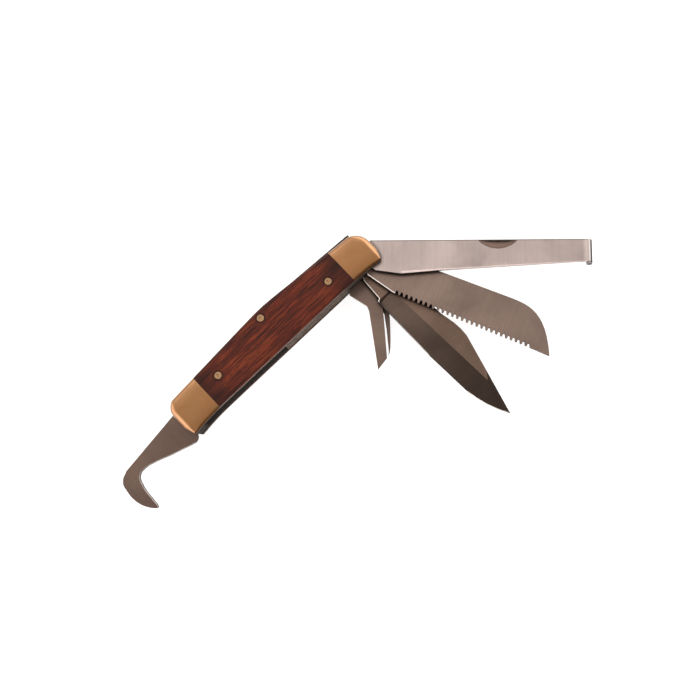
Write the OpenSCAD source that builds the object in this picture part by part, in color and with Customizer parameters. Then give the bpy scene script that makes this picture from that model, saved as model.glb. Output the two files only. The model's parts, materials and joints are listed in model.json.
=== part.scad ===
// Folding whittling knife with a rosewood and brass handle and six tools.
// The knife lies on its back scale: Z = 0 is the rest face and +Z points out of the front scale.
// X runs along the handle from tail to head, +Y is the side of the backsprings and -Y is the
// slot side, where the tools fold in. The origin is below the middle of the handle.
// Every tool swings about an axis along Z, and is drawn half way open or fully open.

/* [Handle outline] */
// Length of the closed handle
handle_len = 109; // [108.6:0.1:109.4]
// Height of the hump on the spring side above the handle's axis
hump_y = 11; // [10.8:0.1:11.2]
// Place of the hump along the handle
hump_x = 2; // [0:0.5:3]
// Slope of the spring side from the hump to the tail
tail_slope = 0.062; // [0.06:0.001:0.064]
// Slope of the spring side from the hump to the head
head_slope = 0.08; // [0.078:0.001:0.082]
// How softly the two slopes meet at the hump
hump_round = 4; // [3:0.5:6]
// Height of the slot side
slot_y = -7.6; // [-8:0.1:-7.4]
// How far the slot side flares out at both ends
slot_flare = 1.1; // [0.8:0.1:1.4]
// Corner radius of the spring side at the head
head_corner_r = 7; // [6:0.5:7.5]
// Corner radius of the spring side at the tail
tail_corner_r = 5; // [4:0.5:6]

/* [Layers] */
// Thickness of a scale and its bolsters
scale_t = 3.2; // [2.8:0.1:3.6]
// Thickness of a brass liner
liner_t = 0.5; // [0.4:0.05:0.6]
// Space between two liners, which holds one spring and its tools
well_t = 2.1; // [2.1:0.05:2.3]
// Thickness of a tool
blade_t = 2; // [1.8:0.05:2]

/* [Scales and bolsters] */
// Joint between the wood and the head bolster
head_joint_x = 38.2; // [36:0.2:40]
// Joint between the wood and the tail bolster
tail_joint_x = -37.8; // [-40:0.2:-36]
// Radius of a pin head in the wood
pin_head_r = 1.55; // [1.4:0.05:1.6]
// Depth to which a pin lies under the face of a scale
pin_depth = 0.1; // [0.05:0.05:0.2]
// Bolster left over the blind end of a pivot pin
pivot_cover = 0.5; // [0.4:0.1:0.8]

/* [Pivots] */
// Head pivot along the handle
head_x = 48.5; // [48.3:0.1:48.6]
// Head pivot across the handle
head_y = -2.5; // [-2.6:0.05:-2.4]
// Radius of the head pivot pin
head_pin_r = 1.5; // [1.3:0.05:1.6]
// Radius of the round cam of a head tang
head_tang_r = 5.3; // [5:0.05:5.3]
// Distance from the pivot to the three flats of a head tang
head_tang_flat = 4.5; // [4.3:0.05:4.8]
// Tail pivot along the handle
tail_x = -49.7; // [-49.8:0.05:-49.6]
// Tail pivot across the handle
tail_y = -1; // [-1.1:0.05:-0.9]
// Radius of the tail pivot pin
tail_pin_r = 1.3; // [1.2:0.05:1.3]
// Radius of the hook's round tang
tail_tang_r = 4.2; // [4:0.05:4.2]
// Radial running clearance of a tang on its pin
run_gap = 0.05; // [0.03:0.01:0.08]

/* [Springs] */
// Height of the springs' inner face over the tools
spring_in_y = 5.9; // [5.9:0.05:6]
// How far the half-open tangs lift the springs at the head
spring_lift = 1.4; // [1:0.1:1.6]
// Spring pin along the handle
spring_pin_x = -0.8; // [-3:0.2:3]
// Spring pin across the handle
spring_pin_y = 7.6; // [7.5:0.05:7.8]
// Radius of the spring pin's shank
spring_pin_r = 1.1; // [0.9:0.05:1.1]

/* [Tool angles] */
// Bent-tip blade, from the handle's direction
long_angle = -43.5; // [-60:0.5:-30]
// Saw
saw_angle = -66; // [-80:0.5:-50]
// Spear-point blade
spear_angle = -90.5; // [-110:0.5:-70]
// Chisel and gouge
chisel_angle = -125; // [-140:0.5:-100]

/* [Bent-tip blade] */
// Length from the pivot to the bent tip
long_len = 95.8; // [90:0.1:95.8]
// Height of its back over the pivot
long_back = 6.8; // [6:0.1:6.9]
// Height of the bent foot, measured from the blade's upper face
foot_h = 4.6; // [3:0.1:4.8]
// How far the foot reaches past the cutting edge
foot_lip = 0.8; // [0:0.1:1]
// Outer radius of the bend
bend_r = 2.4; // [2.2:0.1:3]

/* [Saw] */
// Number of teeth
tooth_count = 28; // [20:1:30]
// Depth of a tooth
tooth_h = 1.4; // [0.8:0.1:1.5]
// First tooth's distance from the pivot
teeth_x0 = 17.8; // [17:0.1:19]
// Last tooth's distance from the pivot
teeth_x1 = 79; // [77:0.5:80]
// Depth of the tooth points below the pivot
teeth_y = -9.2; // [-9.2:0.1:-8.6]

/* [Hidden] */
$fn = 64;
eps = 0.01;
wide = 60;
half_len = handle_len / 2;
well_pitch = well_t + liner_t;
wells = 5;
stack_t = 2 * scale_t + liner_t + wells * well_pitch;
gouge_well = 0;
chisel_well = 1;
spear_well = 2;
saw_well = 3;
long_well = 4;
play = (well_t - blade_t) / 2;

head_pivot = [head_x, head_y];
tail_pivot = [tail_x, tail_y];
spring_pin_at = [spring_pin_x, spring_pin_y];
// Short pins that hold each wooden scale to its liner
scale_pins_at = [[30, -0.6], [-29.6, 2.2]];
pin_dimple_r = 0.6;
pin_dimple_h = 0.35;

head_contact_y = head_y + head_tang_r + run_gap;
tail_contact_y = tail_y + tail_tang_r + run_gap;
spring_head_x = 49.9;
spring_tail_x = -50;
spring_eye_r = 2;
foot_y = -2.6;
nick_ball_r = 40;
nick_lip = 0.35;

// The middle liners are cut back along the tail half of the slot
relief_x0 = -47.9;
relief_x1 = -1;
relief_y = 1.5;

// ---- Places of the layers ----

function well_z(n) = scale_t + liner_t + n * well_pitch;
front_scale_z = stack_t - scale_t;

// ---- Outline of the handle ----

function spine_y(x) = hump_y - (x < hump_x ? tail_slope : head_slope)
    * (sqrt(pow(x - hump_x, 2) + pow(hump_round, 2)) - hump_round);
function arc_points(centre, r, from, to, steps) =
    [for (i = [0:steps]) let (a = from + (to - from) * i / steps)
        centre + r * [cos(a), sin(a)]];
function edge_y(x) = slot_y - slot_flare * pow(max(0, abs(x) - 36) / 16, 2);

head_arc_x = half_len - head_corner_r;
tail_arc_x = -half_len + tail_corner_r;
head_arc_at = [head_arc_x, spine_y(head_arc_x) - head_corner_r];
tail_arc_at = [tail_arc_x, spine_y(tail_arc_x) - tail_corner_r];
corner_x = half_len - 1.9;
corner_rise = 4.6;
spine_step = (head_arc_x - tail_arc_x) / 24;

module outline() {
    polygon(concat(
        [for (i = [1:23]) let (x = tail_arc_x + i * spine_step) [x, spine_y(x)]],
        arc_points(head_arc_at, head_corner_r, 90, 0, 8),
        [[half_len, edge_y(corner_x) + corner_rise], [corner_x, edge_y(corner_x)]],
        [for (x = [48:-3:36]) [x, edge_y(x)]],
        [for (x = [-36:-3:-48]) [x, edge_y(x)]],
        [[-corner_x, edge_y(corner_x)], [-half_len, edge_y(corner_x) + corner_rise]],
        arc_points(tail_arc_at, tail_corner_r, 180, 90, 8)));
}

module outline_between(x0, x1) {
    intersection() {
        outline();
        translate([x0, -wide / 2]) square([x1 - x0, wide]);
    }
}

module holes(places, r) {
    for (p = places) translate(p) circle(r);
}

// ---- Scales and bolsters ----

// A wooden scale, drawn with its outer face at the top
module wood_scale() {
    difference() {
        linear_extrude(scale_t) outline_between(tail_joint_x, head_joint_x);
        for (p = concat(scale_pins_at, [spring_pin_at]))
            translate([p[0], p[1], -eps]) cylinder(h = scale_t + 2 * eps, r = pin_head_r);
    }
}

// A bolster, drawn with its outer face at the top and a blind bore for its pivot pin
module bolster(x0, x1, pivot, pin_r) {
    difference() {
        linear_extrude(scale_t) outline_between(x0, x1);
        translate([pivot[0], pivot[1], -eps])
            cylinder(h = scale_t - pivot_cover + eps, r = pin_r);
    }
}

// Puts a piece of the front side in place
module at_front() {
    translate([0, 0, front_scale_z]) children();
}

// Turns a piece of the front side over, for the back side
module at_back() {
    translate([0, 0, scale_t]) mirror([0, 0, 1]) children();
}

module front_scale() {
    color([0.43, 0.19, 0.13]) at_front() wood_scale();
}

module back_scale() {
    color([0.43, 0.19, 0.13]) at_back() wood_scale();
}

module front_head_bolster() {
    color([0.74, 0.57, 0.37]) at_front() bolster(head_joint_x, wide, head_pivot, head_pin_r);
}

module front_tail_bolster() {
    color([0.74, 0.57, 0.37]) at_front() bolster(-wide, tail_joint_x, tail_pivot, tail_pin_r);
}

module back_head_bolster() {
    color([0.74, 0.57, 0.37]) at_back() bolster(head_joint_x, wide, head_pivot, head_pin_r);
}

module back_tail_bolster() {
    color([0.74, 0.57, 0.37]) at_back() bolster(-wide, tail_joint_x, tail_pivot, tail_pin_r);
}

// ---- Liners ----

module liner_plate() {
    difference() {
        outline();
        holes([head_pivot], head_pin_r);
        holes([tail_pivot], tail_pin_r);
        holes([spring_pin_at], spring_pin_r);
    }
}

module outer_liner(z) {
    color([0.8, 0.66, 0.5]) translate([0, 0, z]) linear_extrude(liner_t) difference() {
        liner_plate();
        holes(scale_pins_at, pin_head_r);
    }
}

module middle_liner(n) {
    color([0.8, 0.66, 0.5]) translate([0, 0, well_z(n) - liner_t])
        linear_extrude(liner_t) difference() {
            liner_plate();
            translate([relief_x0, relief_y - wide]) square([relief_x1 - relief_x0, wide]);
        }
}

module front_liner() {
    outer_liner(front_scale_z - liner_t);
}

module back_liner() {
    outer_liner(scale_t);
}

// ---- Backsprings ----

function top_y(x) = x < tail_arc_x
    ? tail_arc_at[1] + sqrt(pow(tail_corner_r, 2) - pow(x - tail_arc_x, 2))
    : spine_y(x) + spring_lift * max(0, x) / spring_head_x;
top_step = (spring_head_x - spring_tail_x) / 24;

// The tail end follows the hook's tang, or goes round the tail pivot pin
module spring_plate(inner_tail) {
    polygon(concat(
        [for (i = [0:24]) let (x = spring_tail_x + i * top_step) [x, top_y(x)]],
        [[spring_head_x, head_contact_y], [head_x - 2.9, head_contact_y],
            [head_x - 5, spring_in_y - 1.3], [head_x - 10.5, spring_in_y + 0.1],
            [head_x - 17.5, spring_in_y + 0.5], [head_x - 34, spring_in_y]],
        inner_tail));
}

module through_hole(place, r) {
    translate([place[0], place[1], -eps]) cylinder(h = well_t + 2 * eps, r = r);
}

module hook_end_spring(n) {
    color([0.5, 0.46, 0.42]) translate([0, 0, well_z(n)]) difference() {
        linear_extrude(well_t) spring_plate([[tail_x + 5.2, spring_in_y],
            [tail_x + 2.8, tail_contact_y], [spring_tail_x, tail_contact_y]]);
        through_hole(spring_pin_at, spring_pin_r);
    }
}

module pinned_spring(n) {
    color([0.5, 0.46, 0.42]) translate([0, 0, well_z(n)]) difference() {
        union() {
            linear_extrude(well_t) spring_plate([[tail_x + spring_eye_r, spring_in_y],
                [tail_x + spring_eye_r, tail_y], [spring_tail_x, tail_y]]);
            translate(tail_pivot) cylinder(h = well_t, r = spring_eye_r);
        }
        through_hole(spring_pin_at, spring_pin_r);
        through_hole(tail_pivot, tail_pin_r);
    }
}

// ---- Pins ----

module pivot_pin(pivot, r) {
    color([0.74, 0.57, 0.37]) translate([pivot[0], pivot[1], pivot_cover])
        cylinder(h = stack_t - 2 * pivot_cover, r = r);
}

module head_pivot_pin() {
    pivot_pin(head_pivot, head_pin_r);
}

module tail_pivot_pin() {
    pivot_pin(tail_pivot, tail_pin_r);
}

// A pin head in a wooden scale, with the small dimple of its riveting punch
module pin_head(h) {
    difference() {
        cylinder(h = h, r = pin_head_r);
        translate([0, 0, h - pin_dimple_h]) cylinder(h = wide, r = pin_dimple_r);
    }
}

module spring_pin() {
    color([0.78, 0.62, 0.44]) translate([spring_pin_x, spring_pin_y, 0]) union() {
        translate([0, 0, scale_t - eps]) cylinder(h = stack_t - 2 * scale_t + 2 * eps, r = spring_pin_r);
        at_front() pin_head(scale_t - pin_depth);
        at_back() pin_head(scale_t - pin_depth);
    }
}

module scale_pins() {
    for (p = scale_pins_at)
        translate([p[0], p[1], -liner_t]) pin_head(scale_t + liner_t - pin_depth);
}

module front_scale_pins() {
    color([0.78, 0.62, 0.44]) at_front() scale_pins();
}

module back_scale_pins() {
    color([0.78, 0.62, 0.44]) at_back() scale_pins();
}

// ---- Tools: common pieces ----
// A head tool is drawn with its pivot at the origin, its length along +X and its cutting edge
// towards -Y, between z = 0 and z = blade_t.

module in_well(n, pivot, angle) {
    translate([pivot[0], pivot[1], well_z(n) + play]) rotate([0, 0, angle]) children();
}

module head_tang() {
    intersection() {
        circle(head_tang_r);
        square(2 * head_tang_flat, center = true);
    }
}

module pivot_bore(r) {
    translate([0, 0, -eps]) cylinder(h = blade_t + 2 * eps, r = r + run_gap);
}

// Grinds both faces down from a line, at `start` and turned by `turn`, towards -Y
module grind(start, turn, angle, run, width) {
    for (side = [0, 1])
        translate([0, 0, blade_t / 2]) mirror([0, 0, side])
            translate([start[0], start[1], blade_t / 2]) rotate([angle, 0, turn])
                translate([0, -width, 0]) cube([run, width, blade_t]);
}

// A crescent nick for a thumbnail in the upper face, deepest at a lip below the blade's back.
// It is the part of a large sphere that lies below the lip.
module nail_nick(x, lip_y, length, height) {
    rim_r = (pow(length / 2, 2) + pow(height, 2)) / (2 * height);
    rise = sqrt(pow(nick_ball_r, 2) - pow(rim_r, 2));
    intersection() {
        translate([x, lip_y - height + rim_r, blade_t + rise]) sphere(nick_ball_r, $fn = 128);
        translate([x - length, lip_y - wide, 0]) cube([2 * length, wide, wide]);
    }
}

module head_tool(points) {
    linear_extrude(blade_t) head_tang();
    linear_extrude(blade_t) polygon(points);
}

// ---- Bent-tip blade ----

long_edge = [[long_len - 2.4, foot_y], [60.4, -4.5], [31.4, -6.1], [15.7, -7.4], [5.1, -5.9]];

// Side view of the bent blade: the flat, the bend and the foot that points down
module bent_profile() {
    square([long_len - bend_r, blade_t]);
    translate([long_len - bend_r, blade_t - bend_r]) intersection() {
        difference() {
            circle(bend_r);
            circle(bend_r - blade_t);
        }
        square(bend_r);
    }
    translate([long_len - blade_t, blade_t - foot_h]) square([blade_t, foot_h - bend_r]);
}

module bent_tip_blade() {
    color([0.74, 0.69, 0.66]) in_well(long_well, head_pivot, long_angle) difference() {
        union() {
            linear_extrude(blade_t) head_tang();
            intersection() {
                translate([0, 0, -wide / 2]) linear_extrude(wide)
                    polygon(concat([[1.8, 4], [2.6, long_back], [long_len, long_back],
                        [long_len, foot_y - foot_lip], [long_len - 2.2, foot_y - foot_lip]],
                        long_edge, [[2, -3.6]]));
                translate([0, wide / 2, 0]) rotate([90, 0, 0])
                    linear_extrude(wide) bent_profile();
            }
        }
        grind([15.7, -6.4], 3, 12, long_len - 18, 3);
        nail_nick(56.2, long_back - nick_lip, 16.5, 3.6);
        pivot_bore(head_pin_r);
    }
}

// ---- Saw ----

tooth_pitch = (teeth_x1 - teeth_x0) / tooth_count;
saw_back = [[1.8, 4], [2.8, 6.1], [16, 6.3], [31.3, 6.7], [54.5, 7.2]];
saw_nose_from = [64, 7.4];
saw_nose_to = [87.2, -9.4];
saw_nose_steps = 12;
// Where a tooth's gap begins, is deepest and ends, as parts of the pitch
gap_start = 0.1;
gap_root = [0.15, 0.5];
gap_end = 0.78;

// The nose drops away from the back as the cube of the distance along it
function saw_nose_y(t) = saw_nose_from[1] + (saw_nose_to[1] - saw_nose_from[1]) * pow(t, 3);
saw_nose = [for (i = [0:saw_nose_steps]) let (t = i / saw_nose_steps)
    [saw_nose_from[0] + (saw_nose_to[0] - saw_nose_from[0]) * t, saw_nose_y(t)]];

// One gap between teeth, walked from the nose towards the pivot
function tooth_gap(x) = [[x + gap_end * tooth_pitch, teeth_y],
    [x + gap_root[1] * tooth_pitch, teeth_y + tooth_h],
    [x + gap_root[0] * tooth_pitch, teeth_y + tooth_h],
    [x + gap_start * tooth_pitch, teeth_y]];

module saw_blade() {
    color([0.5, 0.44, 0.4]) in_well(saw_well, head_pivot, saw_angle) difference() {
        union() head_tool(concat(saw_back, saw_nose,
            [for (i = [tooth_count - 1:-1:0]) each tooth_gap(teeth_x0 + i * tooth_pitch)],
            [[16.6, -9], [4.7, -6.3], [2, -3.6]]));
        pivot_bore(head_pin_r);
    }
}

// ---- Spear-point blade ----

spear_tip = [89.5, -0.3];
spear_edge_y = -8.2;
belly_x = 35;
belly_power = 4.6;

// The cutting edge runs straight and then curves up to the tip
function spear_edge(x) = spear_edge_y
    + (spear_tip[1] - spear_edge_y) * pow((x - belly_x) / (spear_tip[0] - belly_x), belly_power);

module spear_blade() {
    color([0.46, 0.4, 0.36]) in_well(spear_well, head_pivot, spear_angle) difference() {
        union() head_tool(concat(
            [[1.8, 4], [2.8, 5.8], [20, 6.2], [39.5, 7.7], [46, 9], [50, 9.3], [53.5, 9.1],
                spear_tip],
            [for (i = [11:-1:0]) let (x = belly_x + (spear_tip[0] - belly_x) * i / 12)
                [x, spear_edge(x)]],
            [[17.5, -8.1], [16.9, -6.9], [7.3, -6.4], [5, -5.7], [2, -3.6]]));
        grind([17.8, -0.6], 3, 6.2, spear_tip[0], 12);
        // Both faces also thin towards the point
        grind([84, -6.2], 142, 6, 30, 12);
        pivot_bore(head_pin_r);
    }
}

// ---- Chisel and gouge ----

module chisel_blade() {
    color([0.52, 0.46, 0.42]) in_well(chisel_well, head_pivot, chisel_angle) difference() {
        union() head_tool([[1.8, 4], [2.8, 5.2], [25.2, 4.7], [43.2, 3.4], [47.5, -1.1], [22, -1.1],
            [19.8, -1.7], [17.2, -4.7], [14, -8.4], [5, -5.4], [2, -3.6]]);
        // The skewed end is ground on the lower face only
        translate([0, 0, blade_t]) mirror([0, 0, 1]) translate([47.5, -1.1, 0.2])
            rotate([35, 0, 132]) translate([-3, -3, 0]) cube([14, 8, 4]);
        pivot_bore(head_pin_r);
    }
}

gouge_points = [[1.8, 4], [2.8, 5.4], [19, 7.1], [24, 7.4], [27, 7.2], [31, 6.75], [35, 6.2],
    [38.5, 5.6], [40.3, 5.1], [41.7, 4.5], [42.1, 4.2], [40, 4.65], [36.5, 4.85], [30.5, 5.2],
    [24, 5.2], [19, 3.5], [15.5, -2], [14, -5.2], [5, -5.4], [2, -3.6]];
gouge_channel_r = 0.55;
gouge_channel_from = [22, 6.5];
gouge_channel_turn = -6;

// A narrow veining gouge, with its channel along the lower face
module gouge_blade() {
    color([0.5, 0.45, 0.41]) in_well(gouge_well, head_pivot, chisel_angle) difference() {
        union() head_tool(gouge_points);
        translate([gouge_channel_from[0], gouge_channel_from[1], 0])
            rotate([0, 90, gouge_channel_turn]) cylinder(h = 30, r = gouge_channel_r);
        pivot_bore(head_pin_r);
    }
}

// ---- Hook blade ----

// Drawn with the tail pivot at the origin, its length along -X and the hook towards -Y
hook_points = concat(
    [[-4.6, 3], [-4.6, 6.2], [-36.4, 2.3]],
    arc_points([-35.7, -3.6], 5.6, 100, 160, 6),
    arc_points([-27, -7.2], 14.6, 172, 228, 10),
    [[-36.1, -18], [-35.7, -16.8], [-35.5, -12.6], [-35.3, -9.4], [-35, -7.5]],
    arc_points([-30.6, -6.1], 3.9, 176, 88, 8),
    [[-27.5, -2.4], [-23.5, -3.6], [-17.8, -5.7]],
    arc_points([-6.6, -6], 3, 250, 340, 6),
    [[-1.4, -3.6]]);

module hook_blade() {
    color([0.48, 0.42, 0.38]) translate([tail_x, tail_y, well_z(chisel_well) + play])
        difference() {
            union() {
                cylinder(h = blade_t, r = tail_tang_r);
                linear_extrude(blade_t) polygon(hook_points);
            }
            pivot_bore(tail_pin_r);
        }
}

front_scale();
back_scale();
front_head_bolster();
front_tail_bolster();
back_head_bolster();
back_tail_bolster();
front_liner();
back_liner();
middle_liner(1);  // middle_liner_1
middle_liner(2);  // middle_liner_2
middle_liner(3);  // middle_liner_3
middle_liner(4);  // middle_liner_4
pinned_spring(gouge_well);  // gouge_spring
hook_end_spring(chisel_well);  // chisel_and_hook_spring
pinned_spring(spear_well);  // spear_spring
pinned_spring(saw_well);  // saw_spring
pinned_spring(long_well);  // bent_tip_spring
head_pivot_pin();
tail_pivot_pin();
spring_pin();
front_scale_pins();
back_scale_pins();
bent_tip_blade();
saw_blade();
spear_blade();
chisel_blade();
gouge_blade();
hook_blade();
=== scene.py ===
"""Looks of a folding whittling knife: rosewood and brass handle, six steel tools."""

import json
import math

import bmesh
import bpy
from mathutils import Matrix, Vector


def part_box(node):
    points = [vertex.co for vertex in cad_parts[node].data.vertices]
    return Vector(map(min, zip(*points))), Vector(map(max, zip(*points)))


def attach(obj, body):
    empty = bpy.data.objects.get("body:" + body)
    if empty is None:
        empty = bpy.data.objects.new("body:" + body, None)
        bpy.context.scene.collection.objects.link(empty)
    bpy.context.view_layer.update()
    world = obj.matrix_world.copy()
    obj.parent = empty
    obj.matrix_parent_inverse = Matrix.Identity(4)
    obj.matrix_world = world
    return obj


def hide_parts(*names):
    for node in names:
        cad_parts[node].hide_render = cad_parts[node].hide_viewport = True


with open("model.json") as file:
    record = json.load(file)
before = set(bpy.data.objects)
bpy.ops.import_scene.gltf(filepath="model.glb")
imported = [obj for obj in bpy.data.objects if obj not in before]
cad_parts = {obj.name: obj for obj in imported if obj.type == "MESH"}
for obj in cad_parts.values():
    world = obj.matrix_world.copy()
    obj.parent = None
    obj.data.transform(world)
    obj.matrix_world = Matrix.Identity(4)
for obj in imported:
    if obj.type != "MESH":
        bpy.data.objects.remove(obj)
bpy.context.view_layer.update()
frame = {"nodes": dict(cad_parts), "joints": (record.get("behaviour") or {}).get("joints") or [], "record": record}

MM = 0.001
SCENE = bpy.context.scene
RECORD = frame["record"]
BODY_OF = {n: body for body, nodes in RECORD["behaviour"]["bodies"].items() for n in nodes}
SLOT_OF = {part["node"]: part["material_slot"] for part in RECORD["subparts"]}
PIVOT_OF = {joint["child"]: Vector(joint["pos_m"]) for joint in frame["joints"]}

# Directions in which the tools point at rest, in degrees from the handle's +X
TOOL_ANGLE = {"bent_tip_blade": -43.5, "saw_blade": -66.0, "spear_blade": -90.5,
              "chisel_blade": -125.0, "gouge_blade": -125.0, "hook_blade": 180.0}

# Shape of the handle's faces, in mm
SLOT_ROUND = 0.8
SPINE_ROUND = 1.6
END_ROUND = 2.8
ROUND_STEPS = 8
# Between which values of the inward direction's X and Y the end's and the slot's round come in
END_FACING = (0.25, 0.8)
SLOT_FACING = (0.45, 0.95)
CROWN_WIDTH = 5.0
CROWN_DROP = 0.14
CROWN_STEPS = 5
SEAM = 0.1
PIN_GAP = 0.1
HOLE_SIDES = 40
CUTTER_LENGTH = 100.0

# Corners broken on the metal pieces, in mm
LINER_CORNER = 0.1
PIN_CORNER = 0.15
SPRING_CORNER = 0.12
TOOL_CORNER = 0.08

# Angles in degrees: two faces that lie in one plane, corners that get broken on the handle's
# parts and on the tools, and corners that stay sharp in the shading
COPLANAR_ANGLE = 0.4
PART_CORNER_ANGLE = 28.0
TOOL_CORNER_ANGLE = 24.0
SHARP_ANGLE = 32.0

# Lengths in metres under which two places count as the same
WELD_LENGTH = 5e-7
TOP_TOLERANCE = 1e-5
CUT_TOLERANCE = 1e-7
SEAM_TOLERANCE = 1e-6

# The least cosine used where two sides of an outline meet, so that a sharp corner isn't moved far
MITRE_COSINE = 0.5

# How far in mm the painted shade reaches in the corner under an overlapping tool, and
# what it leaves of the steel's colour
CREVICE_REACH = 2.2
CREVICE_SHADE = 0.07
# How open a place is where the line is darkest and where it ends, and the rays that measure it
CREVICE_OPENNESS = (0.50, 0.92)
CREVICE_RAYS = 8
# How far in mm the painted shade on the bolsters reaches next to the table and to the tools
FLOOR_REACH = 7.0

# How upright a face's normal is when the face is flat, when it is a ground or upper face, where
# the side walls start, and where the bright part of the long blade's bend ends and the side walls'
# painted shade takes over
FLAT_UP = 0.9995
GROUND_UP = 0.9
WALL_UP = 0.5
BEND_UP = 0.87


# ---- Meshes ----

def node_mesh(name):
    """The CAD node's own mesh as a welded bmesh, with each flat face in one piece."""
    bm = bmesh.new()
    bm.from_mesh(frame["nodes"][name].data)
    bmesh.ops.remove_doubles(bm, verts=bm.verts, dist=WELD_LENGTH)
    bmesh.ops.dissolve_limit(bm, angle_limit=math.radians(COPLANAR_ANGLE), verts=bm.verts,
                             edges=bm.edges, use_dissolve_boundaries=False)
    bmesh.ops.recalc_face_normals(bm, faces=bm.faces)
    return bm


def corner_edges(bm, angle):
    """Edges whose two faces meet at more than `angle` degrees."""
    limit = math.radians(angle)
    return [e for e in bm.edges if e.is_manifold and e.calc_face_angle(0.0) > limit]


def bevel(bm, edges, width, segments):
    """Breaks edges with a round `width` mm wide."""
    bmesh.ops.bevel(bm, geom=edges, offset=width * MM, offset_type="OFFSET", segments=segments,
                    profile=0.5, affect="EDGES", clamp_overlap=False, miter_outer="ARC")


def add_piece(bm, node, materials):
    """Makes bm into the piece that stands for a CAD node and rides on its body."""
    name = node + "_finished"
    mesh = bpy.data.meshes.new(name)
    bm.to_mesh(mesh)
    bm.free()
    mesh.shade_smooth()
    mesh.set_sharp_from_angle(angle=math.radians(SHARP_ANGLE))
    for material in materials:
        mesh.materials.append(material)
    piece = bpy.data.objects.new(name, mesh)
    SCENE.collection.objects.link(piece)
    weighted = piece.modifiers.new("face_normals", "WEIGHTED_NORMAL")
    weighted.keep_sharp = True
    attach(piece, BODY_OF[node])
    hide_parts(node)


def build_softened(node, material, width, segments=2):
    """The CAD node with its corners broken by a small round."""
    bm = node_mesh(node)
    bevel(bm, corner_edges(bm, PART_CORNER_ANGLE), width, segments)
    add_piece(bm, node, [material])


def centre_of(node, x_side=0):
    """Middle of a pin node; x_side, 1 or -1, takes only its vertices on that side of X = 0."""
    points = [v.co for v in frame["nodes"][node].data.vertices if v.co.x * x_side >= 0]
    xs, ys = [p.x for p in points], [p.y for p in points]
    return Vector(((min(xs) + max(xs)) / 2, (min(ys) + max(ys)) / 2))


# ---- Handle faces ----

def rim_of(node):
    """The outer outline of a plate as points (x, y), counterclockwise."""
    bm = node_mesh(node)
    top = max(v.co.z for v in bm.verts)
    rim = [e for e in bm.edges
           if all(abs(v.co.z - top) < TOP_TOLERANCE for v in e.verts)
           and any(abs(f.normal.z) < WALL_UP for f in e.link_faces)]
    follow = {}
    for edge in rim:
        a, b = edge.verts
        follow.setdefault(a, []).append(b)
        follow.setdefault(b, []).append(a)
    start = max(follow, key=lambda v: v.co.x)
    loop, last, here = [start], None, start
    while True:
        ahead = [v for v in follow[here] if v is not last]
        last, here = here, ahead[0]
        if here is start:
            break
        loop.append(here)
    points = [Vector((v.co.x, v.co.y)) for v in loop]
    bm.free()
    area = sum(p.x * q.y - q.x * p.y for p, q in zip(points, points[1:] + points[:1]))
    return points if area > 0 else points[::-1]


def inward_steps(points):
    """For each point of an outline, the move that insets both of its sides by one unit."""
    steps = []
    for before, here, after in zip(points[-1:] + points[:-1], points, points[1:] + points[:1]):
        a, b = (here - before).normalized(), (after - here).normalized()
        normal_a, normal_b = Vector((-a.y, a.x)), Vector((-b.y, b.x))
        middle = (normal_a + normal_b).normalized()
        steps.append(middle / max(MITRE_COSINE, middle.dot(normal_a)))
    return steps


def blend(value, low, high):
    """0 below `low`, 1 above `high`, and smooth between."""
    t = min(1.0, max(0.0, (value - low) / (high - low)))
    return t * t * (3 - 2 * t)


def round_at(step):
    """Radius in mm of the rounded edge: small on the slot side, large at both ends."""
    inward = step.normalized()
    radius = SPINE_ROUND + (END_ROUND - SPINE_ROUND) * blend(abs(inward.x), *END_FACING)
    return radius + (SLOT_ROUND - radius) * blend(inward.y, *SLOT_FACING)


def crown(distance):
    """How far in mm the face has dropped at a distance from the outline."""
    return CROWN_DROP * max(0.0, 1 - distance / CROWN_WIDTH) ** 2


def handle_face(outline, z_inner, z_outer):
    """A whole handle side, from its liner out to its rounded and slightly crowned face."""
    bm = bmesh.new()
    out = math.copysign(MM, z_outer - z_inner)
    steps = inward_steps(outline)
    radii = [round_at(step) for step in steps]

    def ring(place):
        points = []
        for p, step, radius in zip(outline, steps, radii):
            distance, drop = place(radius)
            at = p + step * distance * MM
            points.append(bm.verts.new((at.x, at.y, z_outer - out * drop)))
        return points

    rings = [[bm.verts.new((p.x, p.y, z_inner)) for p in outline]]
    for i in range(ROUND_STEPS + 1):
        a = math.pi / 2 * i / ROUND_STEPS
        rings.append(ring(lambda r: (r * (1 - math.cos(a)),
                                     r * (1 - math.sin(a)) + crown(r * (1 - math.cos(a))))))
    for i in range(1, CROWN_STEPS + 1):
        t = i / CROWN_STEPS
        rings.append(ring(lambda r: (r + (CROWN_WIDTH - r) * t, crown(r + (CROWN_WIDTH - r) * t))))
    count = len(outline)
    for low, high in zip(rings, rings[1:]):
        for i in range(count):
            j = (i + 1) % count
            bm.faces.new((low[i], low[j], high[j], high[i]))
    bm.faces.new(rings[0][::-1])
    bm.faces.new(rings[-1])
    bmesh.ops.recalc_face_normals(bm, faces=bm.faces)
    return bm


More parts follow.
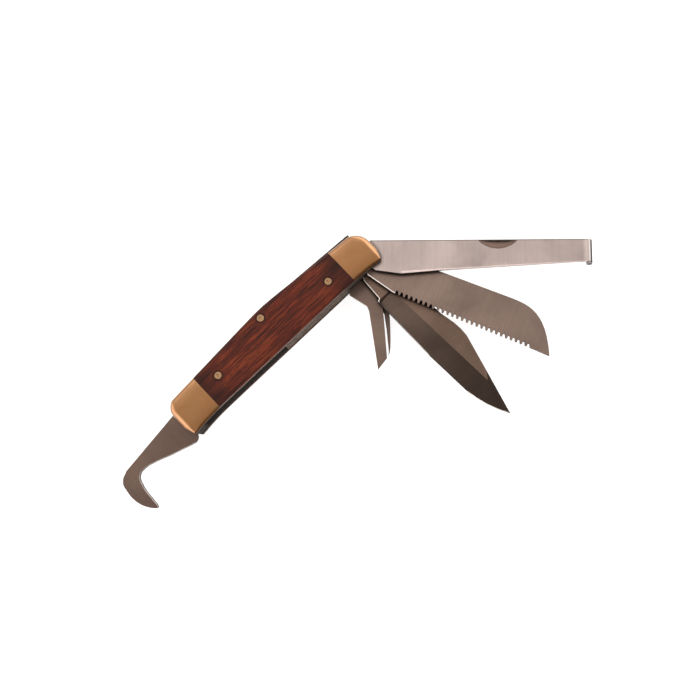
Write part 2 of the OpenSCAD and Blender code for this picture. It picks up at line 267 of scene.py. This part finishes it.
def keep_between(bm, x0, x1):
    """Cuts a closed mesh at two planes across X, closes the cuts and breaks their corners."""
    for x, normal in ((x0, (-1, 0, 0)), (x1, (1, 0, 0))):
        if x is None:
            continue
        geometry = bm.verts[:] + bm.edges[:] + bm.faces[:]
        cut = bmesh.ops.bisect_plane(bm, geom=geometry, dist=CUT_TOLERANCE,
                                     plane_co=(x, 0, 0), plane_no=normal, clear_outer=True)
        edges = [e for e in cut["geom_cut"] if isinstance(e, bmesh.types.BMEdge)]
        bmesh.ops.edgeloop_fill(bm, edges=edges)
        bmesh.ops.recalc_face_normals(bm, faces=bm.faces)
        seam = [e for e in bm.edges if all(abs(v.co.x - x) < SEAM_TOLERANCE for v in e.verts)]
        bevel(bm, seam, SEAM, 2)
    return bm


def drilled(bm, places, radius):
    """The closed mesh with round holes along Z."""
    cutter = bmesh.new()
    for place in places:
        bmesh.ops.create_cone(cutter, cap_ends=True, segments=HOLE_SIDES, radius1=radius * MM,
                              radius2=radius * MM, depth=CUTTER_LENGTH * MM,
                              matrix=Matrix.Translation((place.x, place.y, 0)))
    helpers = []
    for name, source in (("blank", bm), ("cutter", cutter)):
        mesh = bpy.data.meshes.new(name)
        source.to_mesh(mesh)
        source.free()
        helpers.append(bpy.data.objects.new(name, mesh))
        SCENE.collection.objects.link(helpers[-1])
    blank, tool = helpers
    cut = blank.modifiers.new("pin_holes", "BOOLEAN")
    cut.object, cut.operation, cut.solver = tool, "DIFFERENCE", "EXACT"
    bpy.context.view_layer.update()
    result = bmesh.new()
    result.from_object(blank, bpy.context.evaluated_depsgraph_get())
    for helper in helpers:
        bpy.data.objects.remove(helper)
    return result


# ---- Grinding and honing of the tools ----

def tool_frame(node):
    """Matrix from the tool's own frame, with its pivot at the origin, to the handle's frame."""
    turn = Matrix.Rotation(math.radians(TOOL_ANGLE[node]), 4, "Z")
    return Matrix.Translation(PIVOT_OF[BODY_OF[node]]) @ turn


def upper_corner(edge):
    """True for an edge between an upper face and a side wall."""
    ups = sorted(f.normal.z for f in edge.link_faces)
    return len(ups) == 2 and abs(ups[0]) < WALL_UP and ups[1] > GROUND_UP


def run_of_edges(face, wanted):
    """The vertices along the first unbroken run of wanted edges round a face."""
    loops = list(face.loops)
    marks = [wanted(loop.edge) for loop in loops]
    if not any(marks) or all(marks):
        return []
    start = next(i for i, mark in enumerate(marks) if mark and not marks[i - 1])
    run = [loops[start].vert]
    while marks[start % len(loops)]:
        run.append(loops[start % len(loops)].link_loop_next.vert)
        start += 1
    return run


def hone(bm, inside, width, drop, slot):
    """Splits a strip off the upper faces along some outline edges and tips it down.

    `inside` says for the middle of an edge whether it is honed; `slot` is the strip's material.
    """
    done, ends, lowered = set(), {}, set()

    def wanted(edge):
        return (edge not in done and upper_corner(edge)
                and inside((edge.verts[0].co + edge.verts[1].co) / 2))

    def end_point(vert, neighbour):
        if ends.get(vert) is not neighbour:
            edge = bm.edges.get((vert, neighbour))
            part = min(0.5, width * MM / edge.calc_length())
            piece, ends[vert] = bmesh.utils.edge_split(edge, vert, part)
            done.update((edge, piece))
        return ends[vert]

    while True:
        found = next(((f, run) for f in bm.faces if f.normal.z > GROUND_UP
                      for run in [run_of_edges(f, wanted)] if run), None)
        if not found:
            break
        face, run = found
        around = [loop.vert for loop in face.loops]
        first, last = around.index(run[0]), around.index(run[-1])
        before = end_point(run[0], around[first - 1])
        after = end_point(run[-1], around[(last + 1) % len(around)])
        inner = [before]
        for a, b, c in zip(run, run[1:], run[2:]):
            side_a = face.normal.cross(b.co - a.co).normalized()
            side_b = face.normal.cross(c.co - b.co).normalized()
            middle = (side_a + side_b).normalized()
            cosine = max(MITRE_COSINE, middle.dot(side_a))
            inner.append(bm.verts.new(b.co + middle * width * MM / cosine))
        inner.append(after)
        around = [loop.vert for loop in face.loops]
        first = around.index(run[0])
        rest = (around[first:] + around[:first])[len(run):]
        done.update(bm.edges.get(pair) for pair in zip(run, run[1:]))
        old_slot = face.material_index
        bmesh.ops.delete(bm, geom=[face], context="FACES_ONLY")
        trimmed = rest[1:-1] if rest[0] is after and rest[-1] is before else rest
        bm.faces.new(inner + trimmed).material_index = old_slot
        for i in range(len(run) - 1):
            strip = bm.faces.new((run[i], run[i + 1], inner[i + 1], inner[i]))
            strip.material_index = slot
        lowered.update(run)
        bm.normal_update()
    for vert in lowered:
        vert.co.z -= drop * MM


def build_tool(node, looks, honed=None, width=0.35, drop=0.07, nick=None, light_wall=None,
               bend=None):
    """A steel tool with its faces sorted by their looks.

    They are flat, ground, side wall in painted shade, honed edge that is partly painted highlight,
    nick in painted shade, side wall in painted highlight, and bend. `honed`, `nick`, `light_wall`
    and `bend` say for a place in the tool's own frame, in mm, whether it is one.
    """
    flat, ground, wall, bright, dark, light, bent = range(7)
    to_tool = tool_frame(node).inverted()
    bm = node_mesh(node)
    for face in bm.faces:
        up = abs(face.normal.z)
        at = (to_tool @ face.calc_center_median()) / MM
        if nick and nick(at) and WALL_UP < up < FLAT_UP:
            face.material_index = dark
        elif bend and bend(at) and BEND_UP < up < FLAT_UP:
            face.material_index = bent
        elif up > FLAT_UP:
            face.material_index = flat
        elif up > GROUND_UP:
            face.material_index = ground
        else:
            face.material_index = light if light_wall and light_wall(at) else wall
    if honed:
        hone(bm, lambda point: honed((to_tool @ point) / MM), width, drop, bright)
    bevel(bm, corner_edges(bm, TOOL_CORNER_ANGLE), TOOL_CORNER, 2)
    low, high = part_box(node)
    for vert in bm.verts:
        vert.co.z = min(high.z, max(low.z, vert.co.z))
    add_piece(bm, node, looks)


# ---- Material nodes ----

class Nodes:
    """Short ways to add and link shader nodes."""

    def __init__(self, name):
        self.material = bpy.data.materials.new(name)
        self.material.use_nodes = True
        self.tree = self.material.node_tree
        self.shader = self.tree.nodes["Principled BSDF"]

    def add(self, kind, inputs=None, **settings):
        """A node with its inputs, each a value or another node's output, and its settings."""
        node = self.tree.nodes.new(kind)
        for key, value in settings.items():
            setattr(node, key, value)
        for key, value in (inputs or {}).items():
            self.feed(node.inputs[key], value)
        return node

    def feed(self, socket, value):
        if isinstance(value, bpy.types.NodeSocket):
            self.tree.links.new(value, socket)
        else:
            socket.default_value = value

    def place(self, origin=(0, 0, 0), angle=0.0):
        """Coordinates in mm, in a frame at `origin` turned by `angle` degrees about Z."""
        coords = self.add("ShaderNodeTexCoord")
        mapping = self.add("ShaderNodeMapping", {
            "Vector": coords.outputs["Object"], "Location": origin,
            "Rotation": (0, 0, math.radians(angle)), "Scale": (MM, MM, MM)},
            vector_type="TEXTURE")
        return mapping.outputs["Vector"]

    def noise(self, vector, scale, detail, rough, bend=0.0, shift=(0, 0, 0)):
        """Noise with `scale` cycles per mm: one number, or one each along X, Y and Z."""
        if isinstance(scale, tuple):
            mapping = self.add("ShaderNodeMapping", {
                "Vector": vector, "Location": shift, "Scale": scale})
            vector, scale = mapping.outputs["Vector"], 1.0
        return self.add("ShaderNodeTexNoise", {
            "Vector": vector, "Scale": scale, "Detail": detail, "Roughness": rough,
            "Distortion": bend}).outputs["Fac"]

    def ramp(self, fac, stops):
        """A colour ramp; a stop is (place, grey) or (place, (r, g, b))."""
        node = self.add("ShaderNodeValToRGB", {"Fac": fac})
        elements = node.color_ramp.elements
        while len(elements) < len(stops):
            elements.new(0.5)
        for element, (place, colour) in zip(elements, stops):
            element.position = place
            rgb = colour if isinstance(colour, tuple) else (colour,) * 3
            element.color = (*rgb, 1.0)
        return node.outputs["Color"]

    def mix(self, fac, a, b, blend_type="MIX"):
        node = self.add("ShaderNodeMix", data_type="RGBA", blend_type=blend_type)
        for key, value in (("Factor", fac), ("A", a), ("B", b)):
            socket = next(s for s in node.inputs if s.name == key and s.enabled)
            if isinstance(value, tuple):
                value = (*value, 1.0)
            self.feed(socket, value)
        return next(s for s in node.outputs if s.enabled)

    def math(self, operation, a, b=0.0):
        node = self.add("ShaderNodeMath", operation=operation)
        self.feed(node.inputs[0], a)
        self.feed(node.inputs[1], b)
        return node.outputs[0]

    def axis(self, vector, name):
        return self.add("ShaderNodeSeparateXYZ", {"Vector": vector}).outputs[name]

    def span(self, value, low, high, to_low, to_high):
        """Turns the stretch from `low` to `high` smoothly into `to_low` to `to_high`."""
        return self.add("ShaderNodeMapRange", {
            "Value": value, "From Min": low, "From Max": high, "To Min": to_low,
            "To Max": to_high}, interpolation_type="SMOOTHSTEP").outputs["Result"]

    def crevice(self, reach):
        """1 in the open and near 0 in a gap narrower than `reach` mm."""
        occlusion = self.add("ShaderNodeAmbientOcclusion", {"Distance": reach * MM},
                             samples=CREVICE_RAYS)
        return self.span(occlusion.outputs["AO"], *CREVICE_OPENNESS, 0.0, 1.0)

    def distance(self, vector, place):
        """Distance in mm from a line along Z through `place`."""
        across = self.add("ShaderNodeVectorMath", {0: vector, 1: (1, 1, 0)}, operation="MULTIPLY")
        return self.add("ShaderNodeVectorMath", {
            0: across.outputs[0], 1: (place.x / MM, place.y / MM, 0)},
            operation="DISTANCE").outputs["Value"]

    def finish(self, colour, roughness, height, depth, metallic=0.0, **extra):
        """Wires the shader; `depth` is the height of the relief in mm.

        `extra` holds more of its inputs, with _ for the spaces in their names.
        """
        bump = self.add("ShaderNodeBump", {
            "Height": height, "Distance": depth * MM, "Strength": 1.0})
        for key, value in (("Base Color", colour), ("Roughness", roughness),
                           ("Normal", bump.outputs["Normal"]), ("Metallic", metallic)):
            self.feed(self.shader.inputs[key], value)
        for key, value in extra.items():
            self.feed(self.shader.inputs[key.replace("_", " ")], value)
        return self.material


def shade_of(colour, factor):
    """A colour made darker or lighter by a factor."""
    return tuple(min(1.0, c * factor) for c in colour)


# ---- Materials ----

# The scales of the patterns below are in cycles per mm along X, Y and Z

WOOD_DARK = (0.007, 0.002, 0.0015)
WOOD_BROWN = (0.043, 0.0075, 0.0035)
WOOD_RED = (0.106, 0.0145, 0.0048)
WOOD_ORANGE = (0.188, 0.034, 0.009)
WOOD_FIGURE = (0.05, 0.30, 0.30)
WOOD_GRAIN = (0.075, 1.7, 1.5)
WOOD_STREAKS = (0.17, 4.8, 4.4)
WOOD_PORES = (0.50, 6.5, 6.5)
# Where in mm the wood darkens: towards its ends, towards the spine, and as painted shade in a ring round each pin
DARK_ENDS_X = (24.0, 38.0)
DARK_SPINE_Y = (6.5, 10.5)
DARK_RING = 1.3


def rosewood(name, pins, gloss):
    """Red-brown wood with long streaks and fine pores."""
    n = Nodes(name)
    at = n.place()
    x, y = n.axis(at, "X"), n.axis(at, "Y")
    figure = n.noise(at, WOOD_FIGURE, 4.0, 0.6, 0.5)
    grain = n.noise(at, WOOD_GRAIN, 5.0, 0.66, 0.4, (3, 0, 0))
    fine = n.noise(at, WOOD_STREAKS, 3.0, 0.6)
    flecks = n.noise(at, WOOD_PORES, 2.0, 0.6, shift=(1, 4, 2))
    colour = n.ramp(grain, [(0.30, WOOD_DARK), (0.44, WOOD_BROWN), (0.56, WOOD_RED),
                            (0.72, WOOD_ORANGE)])
    colour = n.mix(n.span(figure, 0.50, 0.68, 0.0, 0.55), colour, WOOD_ORANGE)
    colour = n.mix(n.span(figure, 0.50, 0.34, 0.0, 0.60), colour, WOOD_BROWN)
    streak = n.ramp(fine, [(0.36, 0.25), (0.53, 1.0)])
    colour = n.mix(0.8, colour, streak, "MULTIPLY")
    pore = n.ramp(flecks, [(0.30, 0.15), (0.40, 1.0)])
    colour = n.mix(0.75, colour, pore, "MULTIPLY")
    toward_ends = n.span(n.math("ABSOLUTE", x), *DARK_ENDS_X, 0.0, 0.68)
    toward_spine = n.span(y, *DARK_SPINE_Y, 0.0, 0.55)
    colour = n.mix(toward_ends, colour, WOOD_DARK)
    colour = n.mix(toward_spine, colour, WOOD_DARK)
    # Painted shade in a ring round each pin
    for pin in pins:
        ring = n.span(n.distance(at, pin), PIN_RADIUS, PIN_RADIUS + DARK_RING, 0.75, 0.0)
        colour = n.mix(ring, colour, WOOD_DARK)
    rough = n.span(fine, 0.3, 0.7, 0.62, 0.5)
    return n.finish(colour, rough, n.mix(0.5, pore, streak), 0.03, Specular_IOR_Level=gloss)


BRASS_HAZE = 0.10
BRASS_SPECKS = 0.9
SCRATCHES_ALONG = (0.4, 8.0, 8.0)
SCRATCHES_ACROSS = (7.0, 0.5, 7.0)
# Between which X in mm a liner's edge darkens towards the tail
DARK_TAIL_X = (-37.5, -40.5)
# Between which values of its normal's Y a bolster's face turns into its slot-side wall in painted shade
SLOT_WALL_FACING = (-0.6, -0.9)
SLOT_WALL_ROUGHER = 0.55


def brass(name, colour, dull, roughness, scratch_depth=0.005, coat=0.0, bolster=False,
          tail_shade=0.0):
    """Satin brass with patches of the `dull` colour.

    A bolster has painted shade next to what it touches, and painted shade with a rougher, uncoated
    finish on its slot side. `tail_shade` is how far a liner's edge darkens at the tail.
    """
    n = Nodes(name)
    at = n.place()
    haze = n.noise(at, BRASS_HAZE, 3.0, 0.55)
    specks = n.noise(at, BRASS_SPECKS, 4.0, 0.65)
    scratches = n.noise(at, SCRATCHES_ALONG, 3.0, 0.7)
    cross = n.noise(at, SCRATCHES_ACROSS, 3.0, 0.7)
    base = n.mix(n.span(haze, 0.35, 0.68, 0.0, 0.8), colour, dull)
    base = n.mix(n.span(specks, 0.56, 0.8, 0.0, 0.30), base, shade_of(dull, 0.6))
    wear = n.add("ShaderNodeNewGeometry").outputs["Pointiness"]
    base = n.mix(n.span(wear, 0.52, 0.60, 0.0, 0.4), base, shade_of(colour, 1.25))
    tail = n.span(n.axis(at, "X"), *DARK_TAIL_X, 0.0, tail_shade)
    base = n.mix(tail, base, shade_of(dull, 0.1))
    rough = n.math("ADD", n.span(haze, 0.3, 0.7, roughness, roughness + 0.08),
                   n.span(scratches, 0.3, 0.7, -0.04, 0.06))
    if bolster:
        # Painted shade next to the table and the tools
        base = n.mix(n.crevice(FLOOR_REACH), shade_of(colour, 0.15), base)
        # Painted shade on the slot-side wall, which is also rougher and has no coat
        facing = n.axis(n.add("ShaderNodeTexCoord").outputs["Normal"], "Y")
        on_slot_wall = n.span(facing, *SLOT_WALL_FACING, 0.0, 1.0)
        base = n.mix(on_slot_wall, base, shade_of(dull, 0.35))
        rough = n.math("ADD", rough, n.math("MULTIPLY", on_slot_wall, SLOT_WALL_ROUGHER))
        coat = n.math("MULTIPLY", n.math("SUBTRACT", 1.0, on_slot_wall), coat)
    return n.finish(base, rough, n.mix(0.5, scratches, cross), scratch_depth, metallic=1.0,
                    Coat_Weight=coat, Coat_Roughness=0.25)


STEEL_MARKS = (13.0, 0.35, 4.0)
STEEL_BANDS = (1.7, 0.05, 0.5)
STEEL_HAZE = 0.05
STEEL_RELIEF = 0.006
# Distances in mm from the plunge line within which its shade is full and where it ends
PLUNGE_SHADE = (0.15, 0.75)


def steel(name, node, colour, roughness, across=True, streak=0.16, fade=None, plunge=None,
          dark_side=None):
    """Ground steel; the grinding marks run across the tool, or else along it.

    `fade` is (near, far, factor): the steel's colour goes to `factor` times itself between two
    distances in mm from the pivot. `plunge` is the distance of a line of painted shade across the
    tool, where its bevel begins. `dark_side` is (light, dark): the values of Y in mm between which
    the steel turns dark with painted shade.
    """
    n = Nodes(name)
    at = n.place(PIVOT_OF.get(BODY_OF[node], Vector((0, 0, 0))), TOOL_ANGLE.get(node, 0.0))
    fine, broad = STEEL_MARKS, STEEL_BANDS
    if not across:
        fine, broad = ((y, x, z) for x, y, z in (fine, broad))
    marks = n.noise(at, fine, 3.0, 0.7)
    bands = n.noise(at, broad, 3.0, 0.6)
    haze = n.noise(at, STEEL_HAZE, 3.0, 0.5, 0.4)
    base = n.mix(n.span(haze, 0.32, 0.68, 0.0, 1.0), colour, shade_of(colour, 1.13))
    base = n.mix(streak, base, n.ramp(bands, [(0.3, 0.35), (0.7, 1.0)]), "MULTIPLY")
    base = n.mix(streak, base, n.ramp(marks, [(0.3, 0.2), (0.7, 1.0)]), "MULTIPLY")
    # On the long blade's flat next to its bend, the brightening is painted highlight
    if fade:
        near, far, factor = fade
        faded = n.mix(1.0, base, (factor,) * 3, "MULTIPLY")
        base = n.mix(n.span(n.axis(at, "X"), near, far, 0.0, 1.0), base, faded)
    # Painted shade: a dark line where the bevel begins
    if plunge:
        offset = n.math("ABSOLUTE", n.math("SUBTRACT", n.axis(at, "X"), plunge))
        line = n.span(offset, *PLUNGE_SHADE, 0.85, 0.0)
        base = n.mix(line, base, shade_of(colour, CREVICE_SHADE))
    # Painted shade towards one side of the tool
    if dark_side:
        dark = n.span(n.axis(at, "Y"), *dark_side, 0.0, 0.8)
        base = n.mix(dark, base, shade_of(colour, 0.2))
    # Painted shade in the gaps under overlapping tools
    base = n.mix(n.crevice(CREVICE_REACH), shade_of(colour, CREVICE_SHADE), base)
    rough = n.math("ADD", n.span(haze, 0.3, 0.7, roughness - 0.03, roughness + 0.05),
                   n.span(marks, 0.3, 0.7, -0.05, 0.05))
    return n.finish(base, rough, n.mix(0.35, marks, bands), STEEL_RELIEF, metallic=1.0)


PATCH_SCALE = 0.5
GRIT_SCALE = 5.0
PATCHY_RELIEF = 0.008


def patchy_metal(name, colour, roughness, metallic):
    """Metal with a patchy tone, for side walls and inner faces, where its dark colour is painted shade and a light
    one painted highlight.
    """
    n = Nodes(name)
    at = n.place()
    patches = n.noise(at, PATCH_SCALE, 4.0, 0.6)
    grit = n.noise(at, GRIT_SCALE, 3.0, 0.6)
    patch = n.span(patches, 0.3, 0.7, 0.0, 1.0)
    base = n.mix(patch, shade_of(colour, 0.7), shade_of(colour, 1.3))
    rough = n.span(grit, 0.3, 0.7, roughness - 0.08, roughness + 0.08)
    return n.finish(base, rough, grit, PATCHY_RELIEF, metallic=metallic)


# ---- Handle ----

def build_scales_and_bolsters(woods, bolster_brass, pins):
    """Both sides of the handle, each cut out of one face into two bolsters and a scale."""
    outline = rim_of("front_liner")
    front_low, front_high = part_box("front_scale")
    back_low, back_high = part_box("back_scale")
    sides = {"front": (front_low.z, front_high.z), "back": (back_high.z, back_low.z)}
    spans = {"tail_bolster": (None, front_low.x), "scale": (front_low.x, front_high.x),
             "head_bolster": (front_high.x, None)}
    for side, (z_inner, z_outer) in sides.items():
        for part, (x0, x1) in spans.items():
            bm = keep_between(handle_face(outline, z_inner, z_outer), x0, x1)
            material = bolster_brass
            if part == "scale":
                bm = drilled(bm, pins, PIN_RADIUS + PIN_GAP)
                material = woods[side]
            add_piece(bm, side + "_" + part, [material])


def build_liner(node, edge, face_metal):
    """A liner with bright, rounded edges and faces in painted shade."""
    bm = node_mesh(node)
    bevel(bm, corner_edges(bm, PART_CORNER_ANGLE), LINER_CORNER, 2)
    for face in bm.faces:
        face.material_index = 1 if abs(face.normal.z) > GROUND_UP else 0
    add_piece(bm, node, [edge, face_metal])


def build_spring(node):
    """A backspring, ground along its length."""
    build_softened(node, steel(node + "_steel", node, (0.10, 0.075, 0.062), 0.45, across=False),
                   SPRING_CORNER)


pin_low, pin_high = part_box("spring_pin")
PIN_RADIUS = (pin_high.x - pin_low.x) / 2 / MM
PINS = [centre_of("spring_pin")] + [centre_of("front_scale_pins", side) for side in (1, -1)]

WOODS = {"front": rosewood("rosewood", PINS, 0.14), "back": rosewood("back_rosewood", PINS, 0.0)}
BOLSTER_BRASS = brass("bolster_brass", (0.299, 0.133, 0.039), (0.262, 0.106, 0.029), 0.33,
                      coat=1.0, bolster=True)
LINER_EDGE_RELIEF = 0.001
FRONT_EDGE = brass("liner_edge", (0.56, 0.42, 0.31), (0.40, 0.29, 0.21), 0.5,
                   LINER_EDGE_RELIEF, tail_shade=0.6)
MIDDLE_EDGE = brass("middle_liner_edge", (0.46, 0.35, 0.27), (0.34, 0.25, 0.19), 0.5,
                    LINER_EDGE_RELIEF, tail_shade=0.9)
# The back liner's edge, darkened as painted shade
SHADED_BACK_EDGE = brass("shaded_back_liner_edge", (0.10, 0.072, 0.052), (0.08, 0.055, 0.04), 0.5,
                  LINER_EDGE_RELIEF)
OUTER_EDGES = {"front_liner": FRONT_EDGE, "back_liner": SHADED_BACK_EDGE}
# The liners' faces inside the slot, near black as painted shade
SHADED_LINER_FACE = patchy_metal("shaded_liner_face", (0.022, 0.017, 0.014), 0.7, 0.0)
PIN_BRASS = brass("pin_brass", (0.33, 0.198, 0.108), (0.27, 0.158, 0.086), 0.5)

build_scales_and_bolsters(WOODS, BOLSTER_BRASS, PINS)
for node, slot in SLOT_OF.items():
    if slot == "liner_brass":
        build_liner(node, OUTER_EDGES.get(node, MIDDLE_EDGE), SHADED_LINER_FACE)
    elif slot == "pin_brass":
        build_softened(node, PIN_BRASS, PIN_CORNER, 3)
    elif slot == "spring_steel":
        build_spring(node)


# ---- Tools ----

# The tools' side walls, near black as painted shade
SHADED_STEEL_WALL = patchy_metal("steel_wall", (0.020, 0.016, 0.014), 0.6, 0.3)
# A lighter copy of the side walls, as painted highlight
PAINTED_HIGHLIGHT_WALL = patchy_metal("painted_highlight_wall", (0.42, 0.36, 0.33), 0.4, 1.0)
# The honed strip is a real micro-bevel; its near-white colour is partly painted highlight
HONED = steel("honed_glint_steel", "spear_blade", (0.95, 0.86, 0.82), 0.35, streak=0.05)
# The nail nick, darkened as painted shade
SHADED_NICK_STEEL = steel("shaded_nick_steel", "bent_tip_blade", (0.15, 0.10, 0.08), 0.55, across=False)
# The long blade's bend: a darker copy of its steel as painted shade, with more painted shade on the lip of its
# foot
SHADED_BEND_STEEL = steel("shaded_bend_steel", "bent_tip_blade", (0.42, 0.365, 0.345), 0.50,
                   dark_side=(-2.3, -2.8))


def steel_set(node, flat, ground, roughness, ground_roughness=None, flat_fade=None, fade=None,
              **marks):
    """The materials of a tool, in the order in which build_tool sorts its faces."""
    on_flat = steel(node + "_flat", node, flat, roughness, fade=flat_fade, **marks)
    on_ground = steel(node + "_ground", node, ground, ground_roughness or roughness, fade=fade,
                      **marks)
    return [on_flat, on_ground, SHADED_STEEL_WALL, HONED, SHADED_NICK_STEEL, PAINTED_HIGHLIGHT_WALL, SHADED_BEND_STEEL]


# Places on the long blade, the saw and the hook, in mm in each tool's own frame
NICK_X, NICK_LOW = (46, 66), 2.5
BEND_X = 93
# Where the long blade's lower wall takes the painted highlight
HIGHLIT_WALL_X = (61, 93)
SAW_HONED_X, SAW_HONED_TOP = (3.5, 17.4), -5
HOOK_HONED_X, HOOK_HONED_LOW = (6, 37), 2.2

# The spear's honed edge, in mm in its own frame: along the ricasso, then straight, then curving
# up to the tip
SPEAR_TANG_X = 3.5
RICASSO_X, RICASSO_Y = 17.6, -4.5
SPEAR_EDGE_Y = -7.8
SPEAR_BELLY_X, SPEAR_TIP_X = 35.0, 89.5
SPEAR_BELLY_RISE = 7.9
SPEAR_BELLY_POWER = 4.6


def within(value, ends):
    """True for a value between two others."""
    return ends[0] < value < ends[1]


def on_spear_edge(at):
    """True beyond the line that runs just inside the spear's edge."""
    belly = max(0.0, (at.x - SPEAR_BELLY_X) / (SPEAR_TIP_X - SPEAR_BELLY_X))
    edge_y = SPEAR_EDGE_Y + SPEAR_BELLY_RISE * belly ** SPEAR_BELLY_POWER
    return at.x > SPEAR_TANG_X and at.y < (RICASSO_Y if at.x < RICASSO_X else edge_y)


# The long blade: painted highlight on its flat next to the bend, painted shade along its spine
build_tool("bent_tip_blade",
           steel_set("bent_tip_blade", (0.505, 0.412, 0.380), (0.72, 0.60, 0.56), 0.38, 0.60,
                     flat_fade=(91.0, 93.0, 1.45), dark_side=(6.25, 6.6)),
           nick=lambda at: within(at.x, NICK_X) and at.y > NICK_LOW,
           light_wall=lambda at: within(at.x, HIGHLIT_WALL_X) and at.y < 0,
           bend=lambda at: at.x > BEND_X)
build_tool("saw_blade",
           steel_set("saw_blade", (0.255, 0.180, 0.147), (0.27, 0.193, 0.160), 0.40),
           honed=lambda at: within(at.x, SAW_HONED_X) and at.y < SAW_HONED_TOP,
           width=0.32, drop=0.12)
build_tool("spear_blade",
           steel_set("spear_blade", (0.204, 0.132, 0.099), (0.135, 0.093, 0.073), 0.38,
                     fade=(22.0, 72.0, 0.45), plunge=17.9),
           honed=on_spear_edge, width=0.28)
# All the chisel's side walls take the painted highlight
build_tool("chisel_blade",
           steel_set("chisel_blade", (0.198, 0.136, 0.110), (0.23, 0.165, 0.135), 0.40),
           light_wall=lambda at: True)
build_tool("gouge_blade",
           steel_set("gouge_blade", (0.165, 0.118, 0.098), (0.165, 0.118, 0.098), 0.40))
build_tool("hook_blade",
           steel_set("hook_blade", (0.150, 0.100, 0.079), (0.165, 0.112, 0.09), 0.42),
           honed=lambda at: within(at.x, HOOK_HONED_X) and at.y > HOOK_HONED_LOW, width=0.2)


# ---- Stage, light and camera ----

FLOOR_RADIUS = 8.0
FLOOR_SIDES = 96
FLOOR_GLOW = 0.80
FLOOR_DARK, FLOOR_LIGHT = (0.37, 0.365, 0.36), (0.40, 0.395, 0.39)

# Brightness of the studio: overhead, and low down at the handle's ends, spine and slot. A side's
# brightness comes in between two values of the direction's X or Y.
OVERHEAD = 0.42
STUDIO_SIDES = (("X", 0.35, 0.85, 4.0), ("X", -0.35, -0.85, 4.0),
                ("Y", 0.30, 0.95, 1.1), ("Y", -0.10, -0.80, 0.12))
DARKEST = 0.05
STUDIO_TINT = (1.0, 0.985, 0.97, 1.0)

# The key light in metres and watts
KEY_PLACE = (0.04, 0.5, 0.9)
KEY_SIZE = (0.7, 0.5)
KEY_POWER = 3.0
KEY_TINT = (1.0, 0.98, 0.95)

# The camera in mm, and the angle in degrees by which the handle slants in the picture
CAMERA_PLACE = (-4.3, -64.3, 369.0)
CAMERA_AIM = (16.84, -27.68, 19.9)
CAMERA_LENS = 44.1
CAMERA_SENSOR = 36.0
HANDLE_SLANT = 43.53


def add_stage():
    """A pale round floor that glows a little, so that it comes out white."""
    bm = bmesh.new()
    bmesh.ops.create_circle(bm, cap_ends=True, segments=FLOOR_SIDES, radius=FLOOR_RADIUS)
    mesh = bpy.data.meshes.new("floor")
    bm.to_mesh(mesh)
    bm.free()
    floor = bpy.data.objects.new("floor", mesh)
    SCENE.collection.objects.link(floor)
    n = Nodes("floor_paper")
    paper = n.noise(n.place(), 0.6, 4.0, 0.6)
    colour = n.ramp(paper, [(0.3, FLOOR_DARK), (0.7, FLOOR_LIGHT)])
    mesh.materials.append(n.finish(colour, 0.9, paper, 0.01, Specular_IOR_Level=0.0,
                                   Emission_Color=(1.0, 1.0, 1.0, 1.0),
                                   Emission_Strength=FLOOR_GLOW))


def add_key_light():
    """A large soft light beyond the spine that shines on the handle."""
    light = bpy.data.lights.new("key", "AREA")
    light.shape = "RECTANGLE"
    light.size, light.size_y = KEY_SIZE
    light.energy = KEY_POWER
    light.color = KEY_TINT
    lamp = bpy.data.objects.new("key", light)
    SCENE.collection.objects.link(lamp)
    lamp.location = KEY_PLACE
    lamp.rotation_mode = "QUATERNION"
    lamp.rotation_quaternion = (-Vector(KEY_PLACE)).to_track_quat("-Z", "Y")


def add_world():
    """A soft studio with its own brightness overhead and at each side of the handle."""
    world = bpy.data.worlds.new("studio")
    world.use_nodes = True
    SCENE.world = world
    tree = world.node_tree
    coords = tree.nodes.new("ShaderNodeTexCoord")
    split = tree.nodes.new("ShaderNodeSeparateXYZ")
    tree.links.new(coords.outputs["Generated"], split.inputs["Vector"])
    level = None
    for axis, start, full, brightness in STUDIO_SIDES:
        span = tree.nodes.new("ShaderNodeMapRange")
        span.interpolation_type = "SMOOTHSTEP"
        values = {"From Min": start, "From Max": full, "To Min": 0.0,
                  "To Max": brightness - OVERHEAD}
        for key, value in values.items():
            span.inputs[key].default_value = value
        tree.links.new(split.outputs[axis], span.inputs["Value"])
        total = tree.nodes.new("ShaderNodeMath")
        tree.links.new(span.outputs["Result"], total.inputs[0])
        if level is None:
            total.inputs[1].default_value = OVERHEAD
        else:
            tree.links.new(level, total.inputs[1])
        level = total.outputs[0]
    lifted = tree.nodes.new("ShaderNodeMath")
    lifted.operation = "MAXIMUM"
    lifted.inputs[1].default_value = DARKEST
    tree.links.new(level, lifted.inputs[0])
    background = tree.nodes["Background"]
    tree.links.new(lifted.outputs[0], background.inputs["Strength"])
    background.inputs["Color"].default_value = STUDIO_TINT


def add_camera():
    """Looks down almost straight, with the handle slanting across the picture."""
    camera = bpy.data.cameras.new("camera")
    camera.lens = CAMERA_LENS
    camera.sensor_width = CAMERA_SENSOR
    eye = bpy.data.objects.new("camera", camera)
    SCENE.collection.objects.link(eye)
    place, aim = Vector(CAMERA_PLACE) * MM, Vector(CAMERA_AIM) * MM
    slant = math.radians(HANDLE_SLANT)
    upwards = Vector((math.sin(slant), math.cos(slant), 0))
    back = (place - aim).normalized()
    right = upwards.cross(back).normalized()
    up = back.cross(right)
    turn = Matrix((right, up, back)).transposed().to_4x4()
    eye.matrix_world = Matrix.Translation(place) @ turn
    SCENE.camera = eye


add_stage()
add_world()
add_key_light()
add_camera()
SCENE.view_settings.view_transform = "Standard"
